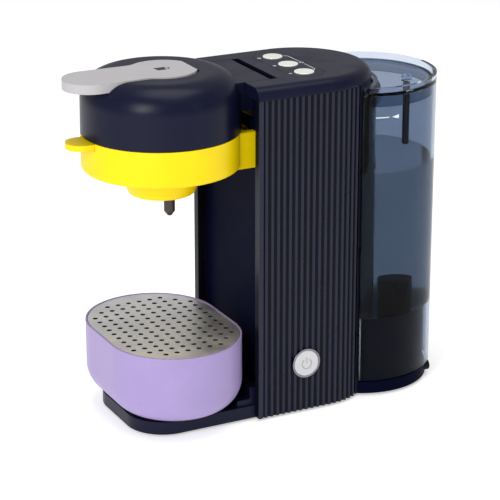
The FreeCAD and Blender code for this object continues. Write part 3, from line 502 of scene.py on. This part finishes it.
@dataclass
class Sheet:
    """A flat drawing surface in space, on which marks are laid as thin raised ribbons."""

    origin: Vector
    across: Vector
    up: Vector
    lift: float = 0.08 * MM
    mesh: bmesh.types.BMesh = field(default_factory=bmesh.new)

    def at(self, x: float, y: float, height: float = 0.0) -> Vector:
        """A point of the sheet.

        Args:
            x: millimetres across.
            y: millimetres up.
            height: metres above the sheet.

        Returns:
            The point in space.
        """
        normal = self.across.cross(self.up).normalized()
        return self.origin + self.across * (x * MM) + self.up * (y * MM) + normal * height

    def polygon(self, outline: list[tuple[float, float]]) -> None:
        """Lay a filled shape with a thin edge.

        Args:
            outline: its corners in millimetres.
        """
        sunk = -self.lift * 0.5
        top = [self.mesh.verts.new(self.at(x, y, self.lift)) for x, y in outline]
        low = [self.mesh.verts.new(self.at(x, y, sunk)) for x, y in outline]
        self.mesh.faces.new(top)
        self.mesh.faces.new(low[::-1])
        for index, corner in enumerate(top):
            following = (index + 1) % len(top)
            self.mesh.faces.new((low[index], low[following], top[following], corner))

    def line(self, points: list[tuple[float, float]], width: float, closed: bool = False) -> None:
        """Lay a line as one ribbon per run.

        Args:
            points: its points in millimetres.
            width: its width in millimetres.
            closed: whether it comes back to its first point.
        """
        ends = points[1:] + points[:1] if closed else points[1:]
        for (x, y), (next_x, next_y) in zip(points, ends):
            run = math.hypot(next_x - x, next_y - y)
            side_x, side_y = -(next_y - y) / run * width / 2, (next_x - x) / run * width / 2
            self.polygon(
                [
                    (x + side_x, y + side_y),
                    (x - side_x, y - side_y),
                    (next_x - side_x, next_y - side_y),
                    (next_x + side_x, next_y + side_y),
                ]
            )

    def arc(
        self,
        centre: tuple[float, float],
        radius: float,
        start: float,
        end: float,
        width: float,
        steps: int = 20,
    ) -> None:
        """Lay an arc.

        Args:
            centre: its centre in millimetres.
            radius: its radius in millimetres.
            start: first angle in degrees.
            end: last angle in degrees.
            width: line width in millimetres.
            steps: number of runs.
        """
        turns = [math.radians(start + (end - start) * step / steps) for step in range(steps + 1)]
        inner, outer = radius - width / 2, radius + width / 2
        for first, second in zip(turns, turns[1:]):
            self.polygon(
                [
                    (centre[0] + reach * math.cos(turn), centre[1] + reach * math.sin(turn))
                    for reach, turn in (
                        (inner, first),
                        (outer, first),
                        (outer, second),
                        (inner, second),
                    )
                ]
            )


@dataclass
class Column:
    """The fixed shells: base, ribbed sides, rear cover, top with its key plate, and the feet."""

    shell: Finish = NAVY
    # The ribbed sides' finish holds a painted highlight on the crowns and painted shade in the
    # grooves.
    ribs: Finish = NAVY_RIBS_LIT_AND_SHADED
    mark_width: float = 0.45
    key_pitch: float = 25.2
    mark_y: float = 18.6
    cup_heights: tuple[float, float, float] = (1.3, 2.0, 2.8)
    cup_half: float = 1.0
    cup_taper: float = 0.7
    link_y: float = 41.3
    link_drop: float = 2.7
    drop_radius: float = 1.5
    symbol_radius: float = 4.0
    symbol_width: float = 0.8

    def dress(self) -> None:
        """Put finishes on the fixed shells and their small parts."""
        dress(self.shell, "base_plinth", "top_cover", "key_plate")
        dress(self.ribs, "left_side_panel", "right_side_panel", "rear_cover")
        # Painted shade: the column's front and the tank's pedestal wear a darker copy of the navy.
        dress(NAVY_SHADED_COPY, "column_front_cover", "tank_pedestal")
        dress(BLACK, "bottom_plate", "cable_gland", "inlet_socket")
        dress(RUBBER, "rubber_feet", "inlet_seal")
        dress(YELLOW, "capsule_bracket", "capsule_adapter")
        dress(SPOUT_BROWN, "outlet_nozzle")
        dress(DARK_CHROME, "power_key_ring")
        dress(BRIGHT_STEEL, "cover_screws", "bracket_screws", "head_hinge_pin")
        dress(KEY_WHITE, "left_key", "middle_key", "right_key")
        dress(POWER_GREY, "power_key")

    def build(self) -> None:
        """Print the pictograms and the linking line on the key plate."""
        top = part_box("key_plate")[1].z
        sheet = Sheet(Vector((0.0, 0.0, top)), Vector((0.0, 1.0, 0.0)), Vector((-1.0, 0.0, 0.0)))
        self._cups(sheet)
        self._link(sheet)
        piece = new_piece("key_marks", sheet.mesh, PRINT_WHITE, "root")
        self._power_symbol()

    def _cups(self, sheet: Sheet) -> None:
        """Draw one small cup beside each key, taller from key to key.

        Args:
            sheet: the drawing surface, with Y across and -X up.
        """
        rim, base = self.cup_half, self.cup_half * self.cup_taper
        for index, height in enumerate(self.cup_heights):
            foot = (index - 1) * self.key_pitch - height / 2
            sheet.line(
                [
                    (self.mark_y - rim, foot + height),
                    (self.mark_y - base, foot),
                    (self.mark_y + base, foot),
                    (self.mark_y + rim, foot + height),
                ],
                self.mark_width,
                closed=True,
            )

    def _link(self, sheet: Sheet) -> None:
        """Draw the line that ties the outer keys, with a drop at its middle.

        Args:
            sheet: the drawing surface, with Y across and -X up.
        """
        line = self.link_y
        gap = 4.0
        reach = self.key_pitch - gap
        for side in (-1.0, 1.0):
            sheet.line([(line - 2.6, side * (reach + 3.0)), (line, side * reach)], self.mark_width)
            sheet.line([(line, side * reach), (line, side * gap)], self.mark_width)
        sheet.arc((line, 0.0), self.drop_radius, 0.0, 360.0, self.mark_width)
        sheet.line([(line, 0.6), (line, self.link_drop)], self.mark_width)

    def _power_symbol(self) -> None:
        """Emboss the power symbol on the side key."""
        low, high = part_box("power_key")
        middle = (low + high) / 2
        face = Vector((high.x - 0.02 * MM, middle.y, middle.z))
        sheet = Sheet(face, Vector((0.0, 1.0, 0.0)), Vector((0.0, 0.0, 1.0)))
        sheet.arc((0.0, -0.3), self.symbol_radius, 125.0, 415.0, self.symbol_width, steps=36)
        sheet.line([(0.0, 0.2), (0.0, 4.7)], self.symbol_width)
        new_piece("power_symbol", sheet.mesh, PRINT_GREY, "power_key")


@dataclass
class BrewHead:
    """The swinging dome with its lever, latch and injection parts."""

    shell: Finish = NAVY
    lever: Finish = LEVER_GREY
    emblem_y: float = -75.0
    emblem_sink: float = 0.27
    emblem_lift: float = 0.2

    def dress(self) -> None:
        """Put finishes on the head's parts."""
        dress(self.shell, "head_shell")
        dress(self.lever, "lever")
        dress(BLACK, "head_underplate", "latch_bar", "injection_block")
        dress(BRIGHT_STEEL, "lever_pin", "piercing_plate")
        dress(SILICONE, "chamber_seal")

    def build(self) -> None:
        """Inlay the small cup emblem in the lever's top."""
        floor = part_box("lever")[1].z - self.emblem_sink * MM
        sheet = Sheet(
            Vector((0.0, self.emblem_y * MM, floor)),
            Vector((0.0, 1.0, 0.0)),
            Vector((-1.0, 0.0, 0.0)),
            lift=self.emblem_lift * MM,
        )
        sheet.polygon([(-5.1, 3.9), (-3.95, -3.5), (2.55, -3.5), (3.7, 3.9)])
        sheet.arc((3.6, 0.4), 2.6, -88.0, 88.0, 1.0)
        new_piece("lever_emblem", sheet.mesh, PRINT_DARK, "lever")


@dataclass
class CupStand:
    """The lilac drip tray with its perforated steel plate."""

    tray: Finish = LILAC
    plate: Finish = STEEL

    def dress(self) -> None:
        """Put finishes on the tray and its plate."""
        dress(self.tray, "drip_tray")
        dress(self.plate, "drip_grille")


@dataclass
class WaterTank:
    """The clear tank with its lid, its water and its printed level mark."""

    centre_y: float = 95.6
    outer: float = 56.4
    wall: float = 2.5
    recess_y: float = 38.5
    recess: float = 57.0
    floor: float = 67.0
    water_top: float = 182.0
    bite: float = 0.1
    crown: float = 0.3
    mark_z: float = 226.7
    mark_half: float = 0.4
    pointer_half: float = 1.6
    steps: int = 64

    def dress(self) -> None:
        """Put finishes on the tank's parts."""
        dress(CLEAR_TANK, "water_tank")
        dress(CLEAR_LID, "tank_lid")
        dress(CLEAR_COLLAR, "lid_collar")
        dress(BLACK, "tank_valve")
        dress(NAVY, "tank_strainer", "level_guide")

    def outline(self, inset: float) -> list[tuple[float, float]]:
        """The crescent inside the tank's wall.

        Args:
            inset: millimetres in from the wall's outer face.

        Returns:
            Its corners, in millimetres.
        """
        big, small = self.outer - inset, self.recess + inset
        gap = self.centre_y - self.recess_y
        along = (gap**2 + small**2 - big**2) / (2 * gap)
        half = math.sqrt(small**2 - along**2)
        turn = math.atan2(self.recess_y + along - self.centre_y, half)
        corners = []
        for step in range(self.steps + 1):
            angle = turn + (math.pi - 2 * turn) * step / self.steps
            corners.append((big * math.cos(angle), self.centre_y + big * math.sin(angle)))
        turn = math.atan2(along, -half)
        for step in range(1, self.steps // 2):
            angle = turn + (math.pi - 2 * turn) * step / (self.steps // 2)
            corners.append((small * math.cos(angle), self.recess_y + small * math.sin(angle)))
        return corners

    def build(self) -> None:
        """Fill the tank with water and print its level mark."""
        mesh = bmesh.new()
        rings = []
        for height, inset in (
            (self.floor - self.bite, self.wall + 0.4),
            (self.floor + 0.4, self.wall - self.bite),
            (self.water_top - 0.5, self.wall - self.bite),
            (self.water_top + self.crown, self.wall - self.bite),
            (self.water_top, self.wall + 0.9),
        ):
            rings.append(
                [mesh.verts.new((x * MM, y * MM, height * MM)) for x, y in self.outline(inset)]
            )
        for low, high in zip(rings, rings[1:]):
            for index, corner in enumerate(low):
                after = (index + 1) % len(low)
                mesh.faces.new((corner, low[after], high[after], high[index]))
        mesh.faces.new(rings[0][::-1])
        mesh.faces.new(rings[-1])
        bmesh.ops.triangulate(mesh, faces=[face for face in mesh.faces if len(face.verts) > 4])
        water = new_piece("water_fill", mesh, WATER, "tank")
        water.data.materials.append(WATER_TOP.material())
        for face in water.data.polygons:
            face.use_smooth = abs(face.normal.z) < 0.5
            face.material_index = int(face.normal.z > 0.5)
        self._level_mark()

    def _level_mark(self) -> None:
        """Print the level line and its pointer on the tank's round side."""
        mesh = bmesh.new()
        line = (-self.mark_half, self.mark_half)
        self._patch(mesh, (-20.0, -9.5), line, line)
        self._patch(mesh, (-7.0, -1.5), (-0.1, 0.1), (-self.pointer_half, self.pointer_half))
        new_piece("level_mark", mesh, PRINT_WHITE, "tank")

    def _patch(
        self,
        mesh: bmesh.types.BMesh,
        turns: tuple[float, float],
        first: tuple[float, float],
        last: tuple[float, float],
    ) -> None:
        """Lay one thin patch on the round side, which may widen from end to end.

        Args:
            mesh: the mesh that it is added to.
            turns: first and last angle in degrees, from +X.
            first: lower and upper edge at the first angle, in millimetres about the mark.
            last: lower and upper edge at the last angle.
        """
        count = 10
        columns = []
        for step in range(count + 1):
            part = step / count
            turn = math.radians(turns[0] + (turns[1] - turns[0]) * part)
            heights = [start + (end - start) * part for start, end in zip(first, last)]
            columns.append(
                [
                    mesh.verts.new(
                        (
                            reach * math.cos(turn) * MM,
                            (self.centre_y + reach * math.sin(turn)) * MM,
                            (self.mark_z + height) * MM,
                        )
                    )
                    for reach in (self.outer - 0.1, self.outer + 0.06)
                    for height in heights
                ]
            )
        for one, two in zip(columns, columns[1:]):
            for start, end in ((0, 1), (1, 3), (3, 2), (2, 0)):
                mesh.faces.new((one[start], one[end], two[end], two[start]))
        for column in (columns[0], columns[-1]):
            mesh.faces.new((column[0], column[1], column[3], column[2]))


class Insides:
    """Everything behind the shells: frame, pump, boiler, water path and electrics."""

    def dress(self) -> None:
        """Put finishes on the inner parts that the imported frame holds."""
        for name, finish in (
            ("chassis", FRAME_GREY),
            ("hinge_fitting", ALUMINIUM),
            ("boiler", ALUMINIUM),
            ("boiler_brackets", BRIGHT_STEEL),
            ("water_pump", FRAME_GREY),
            ("pump_mounts", RUBBER),
            ("pump_cradle", FRAME_GREY),
            ("flow_meter", KEY_WHITE),
            ("suction_hose", SILICONE),
            ("feed_hose", SILICONE),
            ("boiler_hose", SILICONE),
            ("control_board", BOARD),
            ("power_board", BOARD),
            ("board_parts", BLACK),
            ("key_switches", BLACK),
            ("power_switch", BLACK),
        ):
            dress(finish, name)


@dataclass
class Light:
    """One soft area light."""

    name: str
    place: Point
    target: Point
    size: tuple[float, float]
    power: float

    def build(self) -> None:
        """Hang the light and point it."""
        lamp = bpy.data.lights.new(self.name, "AREA")
        lamp.shape = "RECTANGLE"
        lamp.size, lamp.size_y = self.size
        lamp.energy = self.power
        hung = bpy.data.objects.new(self.name, lamp)
        hung.location = self.place
        aim = Vector(self.target) - Vector(self.place)
        hung.rotation_euler = aim.to_track_quat("-Z", "Y").to_euler()
        bpy.context.scene.collection.objects.link(hung)
        LOG.info("light %s hung", self.name)


@dataclass
class Studio:
    """Pale floor, bright surroundings, soft lights and the camera."""

    camera_place: Point = (1.3463, -0.6915, 0.6592)
    azimuth: float = 62.89
    pitch: float = 19.69
    lens: float = 150.3
    surround: float = 0.44
    floor_half: float = 8.0
    lights: tuple[Light, ...] = (
        Light("key_light", (1.1, -1.4, 0.95), (0.0, -0.02, 0.12), (0.5, 0.9), 21.0),
        Light("side_light", (1.8, 0.9, 0.9), (0.0, 0.02, 0.12), (0.35, 1.2), 1.0),
        Light("top_light", (0.1, 0.1, 1.8), (0.0, 0.0, 0.1), (1.2, 1.2), 15.0),
    )

    def build(self) -> None:
        """Set up everything around the machine."""
        self._floor()
        self._surround()
        for light in self.lights:
            light.build()
        self._camera()
        bpy.context.scene.view_settings.view_transform = "Standard"

    def _floor(self) -> None:
        """Lay the floor."""
        mesh = bmesh.new()
        half = self.floor_half
        corners = [(-half, -half), (half, -half), (half, half), (-half, half)]
        mesh.faces.new([mesh.verts.new((x, y, -0.1 * MM)) for x, y in corners])
        data = bpy.data.meshes.new("floor")
        mesh.to_mesh(data)
        mesh.free()
        data.materials.append(FLOOR.material())
        floor = bpy.data.objects.new("floor", data)
        bpy.context.scene.collection.objects.link(floor)

    def _surround(self) -> None:
        """Make the surroundings almost white."""
        world = bpy.data.worlds.new("bright_room")
        bpy.context.scene.world = world
        world.use_nodes = True
        background = world.node_tree.nodes["Background"]
        background.inputs["Color"].default_value = (0.98, 0.99, 1.0, 1.0)
        background.inputs["Strength"].default_value = self.surround

    def _camera(self) -> None:
        """Place the camera that the picture is taken with."""
        camera = bpy.data.cameras.new("camera")
        camera.lens = self.lens
        camera.sensor_width = 36.0
        held = bpy.data.objects.new("camera", camera)
        held.location = self.camera_place
        held.rotation_euler = (math.radians(90.0 - self.pitch), 0.0, math.radians(self.azimuth))
        bpy.context.scene.collection.objects.link(held)
        bpy.context.scene.camera = held


def main() -> None:
    """Dress the machine piece by piece, then set up the studio."""
    logging.basicConfig(level=logging.INFO, format="%(name)s: %(message)s")
    Insides().dress()
    column = Column()
    column.dress()
    column.build()
    head = BrewHead()
    head.dress()
    head.build()
    CupStand().dress()
    tank = WaterTank()
    tank.dress()
    tank.build()
    Studio().build()


if __name__ == "__main__":
    main()
